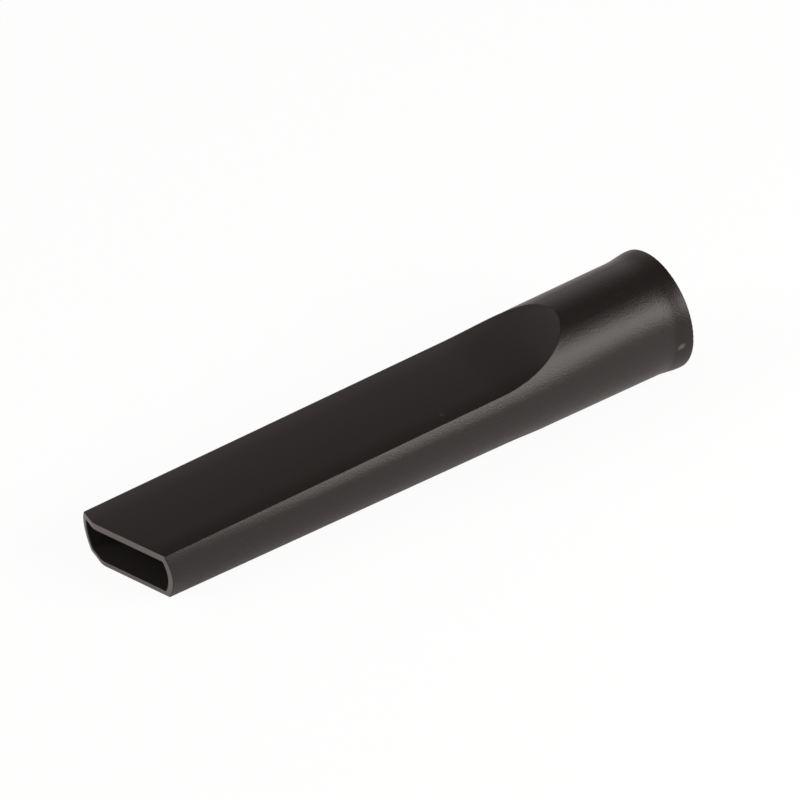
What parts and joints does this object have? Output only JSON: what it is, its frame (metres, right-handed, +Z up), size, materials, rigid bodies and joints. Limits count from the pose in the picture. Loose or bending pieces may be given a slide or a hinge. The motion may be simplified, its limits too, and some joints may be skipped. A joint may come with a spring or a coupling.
{
  "type": "vacuum crevice tool",
  "caption": "Black plastic crevice nozzle for a vacuum cleaner: a round push-on socket with a flared collar that flattens into a long narrow duct with a slanted open mouth.",
  "frame": {"origin": "middle of the footprint, on the surface that the tool lies on", "axes": "+X along the tool from the mouth towards the socket, +Y to the left of someone who looks from the mouth to the socket, +Z up; the tool's own axis rises by about 3.6 degrees towards the socket, as it lies at rest"},
  "size_m": [0.2104, 0.0402, 0.0417],
  "materials": {
    "tool_body": "black polypropylene with a fine moulded grain, satin on the round parts"
  },
  "bodies": {
    "root": {"crevice_tool": "tool_body"}
  },
  "joints": []
}
